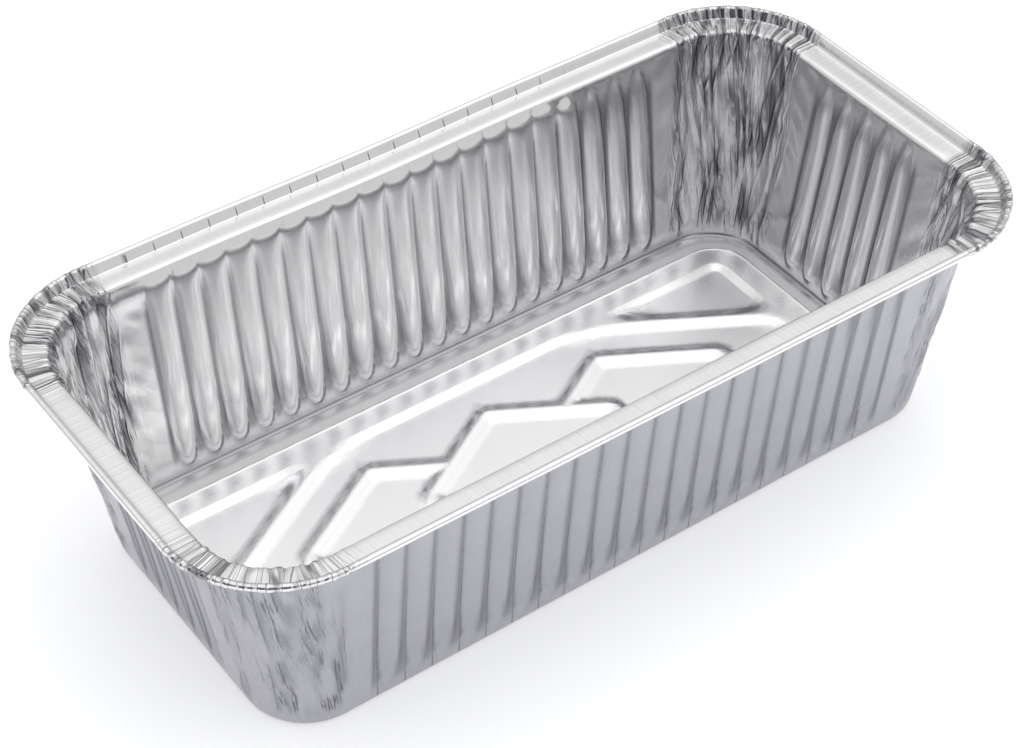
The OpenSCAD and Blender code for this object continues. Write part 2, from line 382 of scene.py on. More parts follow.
def rounded_ring(inset):
    """Plan points along the crease's outline, moved inwards."""
    half = crease_half - inset
    radius = max(crease_r - inset, 0.6 * MM)
    straight = 2 * (half - radius)
    ring_points = []
    for side in range(4):
        near, far = half[side % 2], half[(side + 1) % 2]
        n = int(straight[(side + 1) % 2] / ring_spacing)
        local = [(near, -far + radius + straight[(side + 1) % 2] * i / n) for i in range(n)]
        bends = max(3, int(radius * math.pi / 2 / (ring_spacing * 0.7)))
        for i in range(bends):
            a = math.pi / 2 * i / bends
            local.append((near - radius + radius * math.cos(a), far - radius + radius * math.sin(a)))
        cos, sin = round(math.cos(side * math.pi / 2)), round(math.sin(side * math.pi / 2))
        ring_points += [(x * cos - y * sin, x * sin + y * cos) for x, y in local]
    return ring_points


seam = [int(i) for i in index[0] if i >= 0]
floor_plan = [points[i][:2] for i in seam]
loops = [list(range(len(seam)))]
for inset in border_insets:
    start = len(floor_plan)
    floor_plan += rounded_ring(inset)
    loops.append(list(range(start, len(floor_plan))))

candidates = []
for line in ridge_lines:
    for a, b in zip(line, line[1:]):
        a, b = np.array(a), np.array(b)
        length = np.linalg.norm(b - a)
        ahead = (b - a) / length
        aside = np.array([-ahead[1], ahead[0]])
        for offset in row_offsets:
            for way in ((1,) if offset == 0 else (-1, 1)):
                n = int(length / ridge_spacing)
                for i in range(-3, n + 4):
                    place = a + ahead * length * i / n + aside * offset * way
                    candidates.append((tuple(place), offset))
plan = np.array([c[0] for c in candidates])
offset = np.array([c[1] for c in candidates])
inside = inset_from(plan, crease_half, crease_r) > border_foot_w + 0.5 * MM
keep = inside & (np.abs(ridge_distance(plan) - offset) < 0.06 * MM)
ridge_points = plan[keep]
print(len(ridge_points), "points beside the ridges")

height_step = flat_spacing * math.sqrt(3) / 2
lattice = np.array([
    (x * flat_spacing + (y % 2) * flat_spacing / 2, y * height_step)
    for x in range(-35, 36) for y in range(-14, 15)
])
free = (inset_from(lattice, crease_half, crease_r) > border_foot_w + 1.2 * MM) & (
    ridge_distance(lattice) > row_offsets[-1] + 1.0 * MM
)
flat_points = lattice[free]
print(len(flat_points), "points on the flats")

# %% Thin out points that nearly touch
closest = 0.42 * MM
kept = list(floor_plan)
tree = KDTree(len(kept) + len(ridge_points) + len(flat_points))
for i, p in enumerate(kept):
    tree.insert((*p, 0), i)
tree.balance()
fresh = [tuple(p) for p in (*ridge_points, *flat_points) if tree.find((*p, 0))[2] > closest]
cells = {}
for p in fresh:
    cell = (round(p[0] / closest), round(p[1] / closest))
    around = [q for i in (-1, 0, 1) for j in (-1, 0, 1) for q in cells.get((cell[0] + i, cell[1] + j), ())]
    if all((p[0] - q[0]) ** 2 + (p[1] - q[1]) ** 2 > closest ** 2 for q in around):
        cells.setdefault(cell, []).append(p)
        kept.append(p)
print(len(kept), "floor points")

# %% Join the floor's points
edges = [(a, b) for loop in loops for a, b in zip(loop, loop[1:] + loop[:1])]
flat = [Vector((x / MM, y / MM)) for x, y in kept]
made_verts, _, made_faces, came_from, _, _ = delaunay_2d_cdt(flat, edges, [], 1, 1e-5)
numbers = []
for vert, sources in zip(made_verts, came_from):
    seam_source = [s for s in sources if s < len(seam)]
    if seam_source:
        numbers.append(seam[seam_source[0]])
        continue
    numbers.append(len(points))
    plan = np.array([[vert.x, vert.y]]) * MM
    points.append((vert.x * MM, vert.y * MM, 0))
    pushes.append((0, 0, 1))
    inset = float(inset_from(plan, crease_half, crease_r)[0])
    note_facts(0, half_pitch, -1, 0, 0, 0, -1, inset)
floor_faces = 0
for face in made_faces:
    a, b, c = (made_verts[i] for i in face)
    turns = (b - a).cross(c - a)
    if abs(turns) < 1e-6:
        continue
    order = face if turns < 0 else face[::-1]
    faces.append([numbers[i] for i in order])
    floor_faces += 1
print(floor_faces, "faces in the floor")

# %% The plain sheet as a mesh
sheet_mesh = bpy.data.meshes.new("pan")
sheet_mesh.from_pydata(points, [], faces)
for name, values in facts.items():
    layer = sheet_mesh.attributes.new(name, "FLOAT", "POINT")
    layer.data.foreach_set("value", np.array(values, np.float32))
layer = sheet_mesh.attributes.new("push", "FLOAT_VECTOR", "POINT")
layer.data.foreach_set("vector", np.array(pushes, np.float32).ravel())
sheet_mesh.update()
pan = bpy.data.objects.new("pan_foil", sheet_mesh)
bpy.context.scene.collection.objects.link(pan)
print("sheet:", len(points), "points,", sum(len(f) - 2 for f in faces), "triangles")

# %% [markdown]
# ## A helper for nodes
#
# Both the pressing tree and the materials are built from nodes. One function adds a node: its settings
# are keywords, its inputs a dictionary of values or of sockets to link, and it gives back the outputs.
# A smooth curve is given by its points, from x = 0 to x = 1.

# %% Node helper
def add(tree, kind, inputs=(), curve=(), **settings):
    """Add a node with its settings, the points of its curve and its inputs, and return its outputs."""
    node = tree.nodes.new(kind)
    for name, value in settings.items():
        setattr(node, name, value)
    if curve:
        points = node.mapping.curves[0].points
        for x, y in curve[1:-1]:
            points.new(x, y)
        for end in (0, -1):
            points[end].location = curve[end]
        node.mapping.update()
    for name, value in dict(inputs).items():
        if isinstance(value, bpy.types.NodeSocket):
            tree.links.new(value, node.inputs[name])
        else:
            node.inputs[name].default_value = value
    return node.outputs


def linear(hex_colour):
    """An sRGB hex colour as linear red, green, blue and alpha."""
    parts = [int(hex_colour[i:i + 2], 16) / 255 for i in (1, 3, 5)]
    return (*[p / 12.92 if p <= 0.04045 else ((p + 0.055) / 1.055) ** 2.4 for p in parts], 1.0)


# %% [markdown]
# ## Pressing the sheet
#
# The press is a Geometry Nodes tree. It reads what each point of the sheet knows about itself, such as
# how far it is from the middle of its flute, and moves the point along its push direction. Flutes,
# ridges, folds, dimples and pleats each add their part to one offset, so each has its own input. The
# tree also leaves on the sheet what the metal needs to know: where the foil is creased, rubbed or flat,
# and where the metal paints shade.

# %% Tree and its inputs
press = bpy.data.node_groups.new("press_pan", "GeometryNodeTree")
press.interface.new_socket("Geometry", in_out="INPUT", socket_type="NodeSocketGeometry")
press_seed = 4
press_values = {
    "Flute depth": 1.35 * MM,
    "Flute half width": 3.1 * MM,
    "Flute bottom": 2.6 * MM,
    "Flute top": 55.9 * MM,
    "Blunt top stretch": 0.3,
    "Spear top stretch": 3.2,
    "Ridge height": ridge_h,
    "Ridge top width": ridge_top_w,
    "Ridge slope width": ridge_slope_w,
    "Border step width": border_step_w,
    "Border top width": border_top_w,
    "Peak radius": 3.0 * MM,
    "Pleat pitch": 3.3 * MM,
    "Pleat depth": 0.12 * MM,
    "Fold depth": 0.85 * MM,
    "Dimple depth": 1.3 * MM,
    "Fine pleat depth": 0.05 * MM,
    "Bead lump depth": 0.14 * MM,
    "Far side bow": 0.6 * MM,
    "Waviness": 0.16 * MM,
}
for name, value in press_values.items():
    socket = press.interface.new_socket(name, in_out="INPUT", socket_type="NodeSocketFloat")
    socket.default_value = value
seed_socket = press.interface.new_socket("Seed", in_out="INPUT", socket_type="NodeSocketInt")
seed_socket.default_value = press_seed
press.interface.new_socket("Ridge lines", in_out="INPUT", socket_type="NodeSocketObject")
press.interface.new_socket("Foil", in_out="INPUT", socket_type="NodeSocketMaterial")
press.interface.new_socket("Geometry", in_out="OUTPUT", socket_type="NodeSocketGeometry")
given = press.nodes.new("NodeGroupInput").outputs
known = {}
for name in facts:
    known[name] = add(press, "GeometryNodeInputNamedAttribute", {"Name": name}, data_type="FLOAT")[0]
push = add(press, "GeometryNodeInputNamedAttribute", {"Name": "push"}, data_type="FLOAT_VECTOR")[0]
print(len(press_values), "sizes go into the press")

# %% Flutes
# Distance from the flute's middle line, which is a stroke with round ends
half_w = given["Flute half width"]
stretch = add(press, "ShaderNodeMix", {
    0: known["spear"], 2: given["Blunt top stretch"], 3: given["Spear top stretch"],
})[0]
top_w = add(press, "ShaderNodeMath", {0: half_w, 1: stretch}, operation="MULTIPLY")[0]
top_c = add(press, "ShaderNodeMath", {0: given["Flute top"], 1: top_w}, operation="SUBTRACT")[0]
low_c = add(press, "ShaderNodeMath", {0: given["Flute bottom"], 1: half_w}, operation="ADD")[0]
above = add(press, "ShaderNodeMath", {0: known["height"], 1: top_c}, operation="SUBTRACT")[0]
below = add(press, "ShaderNodeMath", {0: low_c, 1: known["height"]}, operation="SUBTRACT")[0]
above = add(press, "ShaderNodeMath", {0: above, 1: stretch}, operation="DIVIDE")[0]
past = add(press, "ShaderNodeMath", {0: above, 1: below}, operation="MAXIMUM")[0]
past = add(press, "ShaderNodeMath", {0: past, 1: 0.0}, operation="MAXIMUM")[0]
# A flute tapers to a tongue at the foot, and under the lip it widens until the grooves are gone
rise = add(press, "ShaderNodeMath", {0: known["height"], 1: pan_h}, operation="DIVIDE")[0]
blunt = add(press, "ShaderNodeFloatCurve", {"Value": rise}, curve=[
    (0, 0.3), (0.07, 0.36), (0.2, 0.47), (0.7, 0.54), (0.82, 0.57), (0.9, 0.74), (1, 0.85),
])[0]
pointed = add(press, "ShaderNodeFloatCurve", {"Value": rise}, curve=[
    (0, 0.3), (0.07, 0.36), (0.2, 0.46), (0.5, 0.47), (0.7, 0.43), (0.85, 0.33), (0.93, 0.2), (1, 0.1),
])[0]
opening = add(press, "ShaderNodeMix", {0: known["spear"], 2: blunt, 3: pointed})[0]
opening = add(press, "ShaderNodeMath", {0: opening, 1: 2.0}, operation="MULTIPLY")[0]
aside = add(press, "ShaderNodeMath", {0: known["flute_side"], 1: opening}, operation="DIVIDE")[0]
reach = add(press, "ShaderNodeCombineXYZ", {"X": aside, "Y": past})[0]
reach = add(press, "ShaderNodeVectorMath", {0: reach}, operation="LENGTH")["Value"]
reach = add(press, "ShaderNodeMath", {0: reach, 1: half_w}, operation="DIVIDE")[0]
dome = add(press, "ShaderNodeFloatCurve", {"Value": reach}, curve=[
    (0, 1), (0.25, 0.955), (0.5, 0.82), (0.75, 0.55), (0.9, 0.25), (1, 0),
])[0]
# No two flutes are drawn equally deep
shallowest, deepest = 0.86, 1.1
flute_draw = add(press, "ShaderNodeTexWhiteNoise", {"W": known["flute_id"]}, noise_dimensions="1D")["Value"]
flute_draw = add(press, "ShaderNodeMapRange", {
    "Value": flute_draw, "To Min": shallowest, "To Max": deepest,
})[0]
# A blunt flute also gets shallower over its last centimetre, so it ends without a cap
fade = add(press, "ShaderNodeFloatCurve", {"Value": rise}, curve=[
    (0, 1), (0.85, 1), (0.89, 0.93), (0.915, 0.7), (0.935, 0.32), (0.947, 0.06), (0.955, 0), (1, 0),
])[0]
fade = add(press, "ShaderNodeMix", {0: known["spear"], 2: fade, 3: 1.0})[0]
flute = dome
for share in (given["Flute depth"], flute_draw, fade):
    flute = add(press, "ShaderNodeMath", {0: flute, 1: share}, operation="MULTIPLY")[0]
print("with the flutes:", len(press.nodes), "nodes")

# %% Floor ridges and border
lines = add(press, "GeometryNodeObjectInfo", {"Object": given["Ridge lines"]})["Geometry"]
lines = add(press, "GeometryNodeMeshToCurve", {"Mesh": lines})[0]
lines = add(press, "GeometryNodeFilletCurve", {
    "Curve": lines, "Radius": given["Peak radius"], "Count": 6, "Limit Radius": True,
}, mode="POLY")[0]
lines = add(press, "GeometryNodeCurveToMesh", {"Curve": lines})[0]
away = add(press, "GeometryNodeProximity", {"Geometry": lines}, target_element="EDGES")["Distance"]
half_top = add(press, "ShaderNodeMath", {0: given["Ridge top width"], 1: 2.0}, operation="DIVIDE")[0]
foot = add(press, "ShaderNodeMath", {0: half_top, 1: given["Ridge slope width"]}, operation="ADD")[0]
ridge = add(press, "ShaderNodeMapRange", {
    "Value": away, "From Min": half_top, "From Max": foot, "To Min": 1.0, "To Max": 0.0,
}, clamp=False)[0]
step_w = given["Border step width"]
up_slope = add(press, "ShaderNodeMath", {0: known["inset"], 1: step_w}, operation="DIVIDE")[0]
border_end = add(press, "ShaderNodeMath", {0: step_w, 1: given["Border top width"]})[0]
border_end = add(press, "ShaderNodeMath", {0: border_end, 1: given["Ridge slope width"]})[0]
down_slope = add(press, "ShaderNodeMath", {0: border_end, 1: known["inset"]}, operation="SUBTRACT")[0]
down_slope = add(press, "ShaderNodeMath", {
    0: down_slope, 1: given["Ridge slope width"],
}, operation="DIVIDE")[0]
border = add(press, "ShaderNodeMath", {0: up_slope, 1: down_slope}, operation="MINIMUM")[0]
field = add(press, "FunctionNodeCompare", {"A": known["inset"], "B": step_w}, operation="GREATER_THAN")[0]
# Where a ridge runs into the border, their slopes meet in a round corner
joined = add(press, "ShaderNodeMath", {0: ridge, 1: border, 2: junction_round}, operation="SMOOTH_MAX")[0]
rise_share = add(press, "ShaderNodeMix", {0: field, 2: border, 3: joined})[0]
rise_share = add(press, "ShaderNodeClamp", {"Value": rise_share})[0]
raised = add(press, "ShaderNodeMath", {0: rise_share, 1: given["Ridge height"]}, operation="MULTIPLY")[0]
# The step ends in a fine raised line, which catches the light
from_line = add(press, "ShaderNodeMath", {0: known["inset"], 1: border_line_at}, operation="SUBTRACT")[0]
from_line = add(press, "ShaderNodeMath", {0: from_line}, operation="ABSOLUTE")[0]
border_line = add(press, "ShaderNodeMapRange", {
    "Value": from_line, "From Min": 0.0, "From Max": border_line_w, "To Min": border_line_h, "To Max": 0.0,
})[0]
raised = add(press, "ShaderNodeMath", {0: raised, 1: border_line})[0]
print("with the floor:", len(press.nodes), "nodes")

# %% A wave of folds
def fold_wave(tree, place, width, lean, wander):
    """Sharp folds, from -1 to 1, of a width in metres: lean slants them and wander bends them."""
    across = add(tree, "ShaderNodeVectorMath", {0: place, 1: (1 / width, lean / width, 0)},
                 operation="DOT_PRODUCT")["Value"]
    cells = add(tree, "ShaderNodeVectorMath", {0: place, 1: (0.3 / width, 0.05 / width, 1)},
                operation="MULTIPLY")[0]
    drift = add(tree, "ShaderNodeTexNoise", {"Vector": cells, "Scale": 1.0, "Detail": 1.0})["Fac"]
    phase = add(tree, "ShaderNodeMath", {0: drift, 1: wander, 2: across}, operation="MULTIPLY_ADD")[0]
    folded = add(tree, "ShaderNodeMath", {0: phase, 1: 0.5}, operation="PINGPONG")[0]
    return add(tree, "ShaderNodeMath", {0: folded, 1: 4.0, 2: -1.0}, operation="MULTIPLY_ADD")[0]


# %% Folds of the corners
wide_fold_w, wide_fold_lean = 5.2 * MM, 0.1
narrow_fold_w, narrow_fold_lean = 2.9 * MM, -0.16
fold_wander = 4.0
fold_bottom = -0.6
draw_change = 20 * MM
mix_w, mix_length = 6 * MM, 16 * MM
patch_w, patch_length = 5 * MM, 24 * MM
# The draw changes slowly across the pan, so that its two long sides differ
spot = add(press, "GeometryNodeInputPosition")[0]
spot_parts = add(press, "ShaderNodeSeparateXYZ", {"Vector": spot})
draw = add(press, "ShaderNodeMath", {0: spot_parts["Y"], 1: 1 / draw_change, 2: given["Seed"]},
           operation="MULTIPLY_ADD")[0]
place = add(press, "ShaderNodeCombineXYZ", {"X": known["run"], "Y": known["height"], "Z": draw})[0]
wide_folds = fold_wave(press, place, wide_fold_w, wide_fold_lean, fold_wander)
narrow_folds = fold_wave(press, place, narrow_fold_w, narrow_fold_lean, fold_wander)
# Wide folds and narrow ones take turns
mixed_cells = add(press, "ShaderNodeVectorMath", {0: place, 1: (1 / mix_w, 1 / mix_length, 1)},
                  operation="MULTIPLY")[0]
mixed = add(press, "ShaderNodeTexNoise", {"Vector": mixed_cells, "Scale": 1.0, "Detail": 1.0})["Fac"]
mixed = add(press, "ShaderNodeMapRange", {"Value": mixed, "From Min": 0.4, "From Max": 0.6})[0]
crumple = add(press, "ShaderNodeMix", {0: mixed, 2: wide_folds, 3: narrow_folds})[0]
# Patches of the corner stay nearly smooth
patch_cells = add(press, "ShaderNodeVectorMath", {0: place, 1: (1 / patch_w, 1 / patch_length, 1)},
                  operation="MULTIPLY")[0]
patch = add(press, "ShaderNodeTexNoise", {"Vector": patch_cells, "Scale": 1.0, "Detail": 1.0})["Fac"]
patch = add(press, "ShaderNodeMapRange", {
    "Value": patch, "From Min": 0.36, "From Max": 0.52, "To Min": 0.15, "To Max": 1.0,
})[0]
# The bottoms of the folds are pressed flat, and the metal is told how deep they are, to paint shade in them
crumple = add(press, "ShaderNodeMath", {0: crumple, 1: fold_bottom}, operation="MAXIMUM")[0]
crumple = add(press, "ShaderNodeMath", {0: crumple, 1: patch}, operation="MULTIPLY")[0]
fold_shade_depth = add(press, "ShaderNodeMapRange", {
    "Value": crumple, "From Min": -0.1, "From Max": fold_bottom, "To Min": 0.0, "To Max": 0.8,
})[0]
# The folds fill the corners, fade over the plain wall, and stop short of the foot and the flange
near_corner = add(press, "ShaderNodeMapRange", {
    "Value": known["corner"], "From Min": 0.55, "From Max": 1.0, "To Min": 0.0, "To Max": 1.0,
}, interpolation_type="SMOOTHSTEP")[0]
off_foot = add(press, "ShaderNodeMapRange", {
    "Value": known["height"], "From Min": 0.5 * MM, "From Max": 7 * MM, "To Min": 0.0, "To Max": 1.0,
}, interpolation_type="SMOOTHSTEP")[0]
off_rim = add(press, "ShaderNodeMapRange", {
    "Value": known["zone"], "From Min": 1.0, "From Max": 3.0, "To Min": 1.0, "To Max": 0.15,
})[0]
for share in (given["Fold depth"], near_corner, off_foot, off_rim):
    crumple = add(press, "ShaderNodeMath", {0: crumple, 1: share}, operation="MULTIPLY")[0]
print("with the folds:", len(press.nodes), "nodes")

# %% What the metal reads
# The metal paints thin strokes of shade on the flange, upstand and bead of the corners
stroke_shade_share = add(press, "ShaderNodeMapRange", {
    "Value": known["corner"], "From Min": 0.8, "From Max": 1.0, "To Min": 0.0, "To Max": 1.0,
})[0]
stroke_rise = add(press, "ShaderNodeMapRange", {
    "Value": known["zone"], "From Min": 1.0, "From Max": 2.0, "To Min": 0.0, "To Max": 1.0,
})[0]
stroke_shade_share = add(press, "ShaderNodeMath", {0: stroke_shade_share, 1: stroke_rise}, operation="MULTIPLY")[0]
# How far from a flute's middle, how far onto the upstand, and how creased
crease_share = add(press, "ShaderNodeMath", {0: near_corner, 1: off_foot}, operation="MULTIPLY")[0]
on_flange = add(press, "ShaderNodeMapRange", {
    "Value": known["zone"], "From Min": 1.0, "From Max": 3.0, "To Min": 0.0, "To Max": 1.0,
})[0]
flange_creases = add(press, "ShaderNodeMapRange", {
    "Value": known["corner"], "From Min": 0.6, "From Max": 1.0, "To Min": 0.05, "To Max": 0.25,
})[0]
on_flange = add(press, "ShaderNodeMath", {0: on_flange, 1: flange_creases}, operation="MULTIPLY")[0]
crease_share = add(press, "ShaderNodeMath", {0: crease_share, 1: patch}, operation="MULTIPLY")[0]
crease_share = add(press, "ShaderNodeMath", {0: crease_share, 1: on_flange}, operation="MAXIMUM")[0]
upstand_share = add(press, "ShaderNodeMath", {0: known["zone"], 1: float(UPSTAND)}, operation="SUBTRACT")[0]
upstand_share = add(press, "ShaderNodeMath", {0: upstand_share}, operation="ABSOLUTE")[0]
upstand_share = add(press, "ShaderNodeMath", {0: 1.0, 1: upstand_share}, operation="SUBTRACT")[0]
from_flute = add(press, "ShaderNodeMath", {0: known["flute_side"]}, operation="ABSOLUTE")[0]
on_side = add(press, "ShaderNodeMath", {0: known["corner"], 1: 0.001}, operation="LESS_THAN")[0]
long_side = add(press, "ShaderNodeMath", {0: 1.0, 1: known["spear"]}, operation="SUBTRACT")[0]
for share in (on_side, long_side):
    upstand_share = add(press, "ShaderNodeMath", {0: upstand_share, 1: share}, operation="MULTIPLY")[0]
shares = add(press, "ShaderNodeCombineXYZ", {"X": from_flute, "Y": upstand_share, "Z": crease_share})[0]
# How far into a groove, how flat and scuffed in the floor, and how deep in a fold: the metal paints shade
# into grooves and folds and paints the flats paler
groove = add(press, "ShaderNodeMapRange", {
    "Value": reach, "From Min": 0.88, "From Max": 1.02, "To Min": 0.0, "To Max": 1.0,
})[0]
groove_rise = add(press, "ShaderNodeFloatCurve", {"Value": rise}, curve=[
    (0, 0), (0.04, 0.05), (0.1, 0.7), (0.2, 1), (0.8, 0.85), (0.9, 0), (1, 0),
])[0]
for share in (groove_rise, on_side):
    groove = add(press, "ShaderNodeMath", {0: groove, 1: share}, operation="MULTIPLY")[0]
# Painted shade draws the crease at the foot of the wall as a thin dark line
foot_line_z, foot_line_half_w = 0.3 * MM, 0.9 * MM
from_foot = add(press, "ShaderNodeMath", {0: known["height"], 1: foot_line_z}, operation="SUBTRACT")[0]
from_foot = add(press, "ShaderNodeMath", {0: from_foot}, operation="ABSOLUTE")[0]
foot_shade_line = add(press, "ShaderNodeMapRange", {
    "Value": from_foot, "From Min": 0.25 * MM, "From Max": foot_line_half_w, "To Min": 0.9, "To Max": 0.0,
})[0]
on_foot = add(press, "ShaderNodeMapRange", {
    "Value": known["zone"], "From Min": -0.6, "From Max": 0.0, "To Min": 0.0, "To Max": 1.0,
})[0]
foot_shade_line = add(press, "ShaderNodeMath", {0: foot_shade_line, 1: on_foot}, operation="MULTIPLY")[0]
groove = add(press, "ShaderNodeMath", {0: groove, 1: foot_shade_line}, operation="MAXIMUM")[0]
in_floor = add(press, "ShaderNodeMapRange", {
    "Value": known["zone"], "From Min": -1.0, "From Max": 0.0, "To Min": 1.0, "To Max": 0.0,
})[0]
off_bevel = add(press, "ShaderNodeMath", {0: rise_share, 1: 0.5}, operation="SUBTRACT")[0]
off_bevel = add(press, "ShaderNodeMath", {0: off_bevel}, operation="ABSOLUTE")[0]
flatness = add(press, "ShaderNodeMath", {0: off_bevel, 1: 2.6, 2: -0.3}, operation="MULTIPLY_ADD")[0]
# The middle of the floor is scuffed more than its edge, and painted paler
edge_scuffs_and_sheen, middle_scuffs_and_sheen, ring_scuffs_and_sheen = 0.45, 0.9, 2.6
near_wall = add(press, "ShaderNodeMapRange", {
    "Value": known["inset"], "From Min": 8 * MM, "From Max": 30 * MM,
    "To Min": edge_scuffs_and_sheen, "To Max": middle_scuffs_and_sheen,
})[0]
flatness = add(press, "ShaderNodeMath", {0: flatness, 1: near_wall}, operation="MULTIPLY")[0]
# The ring that the pan stands on is rubbed dull, and painted pale
on_ring = add(press, "ShaderNodeMapRange", {
    "Value": known["inset"], "From Min": 0.8 * MM, "From Max": 1.0 * MM,
    "To Min": ring_scuffs_and_sheen, "To Max": 0.0,
})[0]
flatness = add(press, "ShaderNodeMath", {0: flatness, 1: on_ring}, operation="MAXIMUM")[0]
flatness = add(press, "ShaderNodeMath", {0: flatness, 1: in_floor}, operation="MULTIPLY")[0]
tones = add(press, "ShaderNodeCombineXYZ", {"X": groove, "Y": flatness, "Z": fold_shade_depth})[0]
print("with the metal's facts:", len(press.nodes), "nodes")

# %% Dimples of the plain wall beside a corner
# They slant away from the corner's top, so their noise is stretched along a slanted line
plain_w = 10 * MM
dimple_w, dimple_length = 3.6 * MM, 15 * MM
slant = math.radians(42)
from_corner = add(press, "ShaderNodeMapRange", {
    "Value": known["corner"], "From Min": 1.0, "From Max": 0.0, "To Min": 0.0, "To Max": plain_w,
})[0]
wall_place = add(press, "ShaderNodeCombineXYZ", {
    "X": from_corner, "Y": known["height"], "Z": known["flute_id"],
})[0]
across_dimples = add(press, "ShaderNodeVectorMath", {
    0: wall_place, 1: (math.sin(slant) / dimple_w, math.cos(slant) / dimple_w, 0),
}, operation="DOT_PRODUCT")["Value"]
along_dimples = add(press, "ShaderNodeVectorMath", {
    0: wall_place, 1: (math.cos(slant) / dimple_length, -math.sin(slant) / dimple_length, 0),
}, operation="DOT_PRODUCT")["Value"]
corner_id = add(press, "ShaderNodeMath", {0: known["run"], 1: 1 / (60 * MM)}, operation="MULTIPLY")[0]
dimple_cells = add(press, "ShaderNodeCombineXYZ", {
    "X": across_dimples, "Y": along_dimples, "Z": corner_id,
})[0]
dimples = add(press, "ShaderNodeTexNoise", {"Vector": dimple_cells, "Scale": 1.0, "Detail": 1.0})["Fac"]
dimples = add(press, "ShaderNodeMath", {0: dimples, 1: 0.5}, operation="SUBTRACT")[0]
beside = add(press, "ShaderNodeFloatCurve", {"Value": known["corner"]}, curve=[
    (0, 0), (0.45, 0.9), (0.8, 1), (1, 0.3),
])[0]
for share in (given["Dimple depth"], beside, off_foot, off_rim):
    dimples = add(press, "ShaderNodeMath", {0: dimples, 1: share}, operation="MULTIPLY")[0]
print("with the dimples:", len(press.nodes), "nodes")

# %% Pleats of lip, flange and bead
fine_pleat_w = 1.9 * MM
pleat_randomness = 0.7
pleat_place = add(press, "ShaderNodeMath", {
    0: known["run"], 1: given["Pleat pitch"],
}, operation="DIVIDE")[0]
pleat_cells = {"W": pleat_place, "Scale": 1.0, "Randomness": pleat_randomness}
pleat_edge = add(press, "ShaderNodeTexVoronoi", pleat_cells,
                 voronoi_dimensions="1D", feature="DISTANCE_TO_EDGE")["Distance"]
pleat_edge = add(press, "ShaderNodeMapRange", {
    "Value": pleat_edge, "From Min": 0.0, "From Max": 0.16, "To Min": -1.0, "To Max": 0.0,
}, interpolation_type="SMOOTHSTEP")[0]
pleat_level = add(press, "ShaderNodeTexVoronoi", pleat_cells,
                  voronoi_dimensions="1D", feature="F1")["Color"]
pleat_level = add(press, "ShaderNodeSeparateXYZ", {"Vector": pleat_level})[0]
pleats = add(press, "ShaderNodeMath", {0: pleat_level, 1: 0.4, 2: pleat_edge}, operation="MULTIPLY_ADD")[0]
pleats = add(press, "ShaderNodeMath", {0: pleats, 1: given["Pleat depth"]}, operation="MULTIPLY")[0]
fine_pleats = fold_wave(press, place, fine_pleat_w, 0.0, 3.0)
fine_pleats = add(press, "ShaderNodeMapRange", {
    "Value": fine_pleats, "From Min": 0.45, "From Max": 1.0, "To Min": 0.0, "To Max": 1.0,
})[0]
pleats = add(press, "ShaderNodeMath", {
    0: fine_pleats, 1: given["Fine pleat depth"], 2: pleats,
}, operation="MULTIPLY_ADD")[0]
on_rim = add(press, "ShaderNodeMapRange", {
    "Value": known["height"], "From Min": 46 * MM, "From Max": lip_z, "To Min": 0.0, "To Max": 1.0,
}, interpolation_type="SMOOTHSTEP")[0]
bent_part = add(press, "ShaderNodeMapRange", {
    "Value": known["corner"], "From Min": 0.75, "From Max": 1.0, "To Min": 0.0, "To Max": 1.0,
})[0]
off_bead = add(press, "ShaderNodeMapRange", {
    "Value": known["zone"], "From Min": 4.0, "From Max": 5.0, "To Min": 1.0, "To Max": 0.45,
})[0]
for share in (on_rim, bent_part, off_bead):
    pleats = add(press, "ShaderNodeMath", {0: pleats, 1: share}, operation="MULTIPLY")[0]
print("with the pleats:", len(press.nodes), "nodes")

# %% Lumps of the bead
lump_w = 1.5 * MM
lump_place = add(press, "ShaderNodeMath", {0: known["run"], 1: lump_w}, operation="DIVIDE")[0]
lump_place = add(press, "ShaderNodeCombineXYZ", {"X": lump_place, "Y": known["zone"], "Z": 3.0})[0]
lumps = add(press, "ShaderNodeTexNoise", {"Vector": lump_place, "Scale": 1.0, "Detail": 1.0})["Fac"]
lumps = add(press, "ShaderNodeMath", {0: lumps, 1: 0.5}, operation="SUBTRACT")[0]
on_bead = add(press, "ShaderNodeMapRange", {
    "Value": known["zone"], "From Min": 3.0, "From Max": 5.0, "To Min": 0.0, "To Max": 1.0,
})[0]
lump_share = add(press, "ShaderNodeMapRange", {
    "Value": known["corner"], "From Min": 0.8, "From Max": 1.0, "To Min": 0.15, "To Max": 1.0,
})[0]
for share in (given["Bead lump depth"], on_bead, lump_share):
    lumps = add(press, "ShaderNodeMath", {0: lumps, 1: share}, operation="MULTIPLY")[0]
print("with the bead:", len(press.nodes), "nodes")

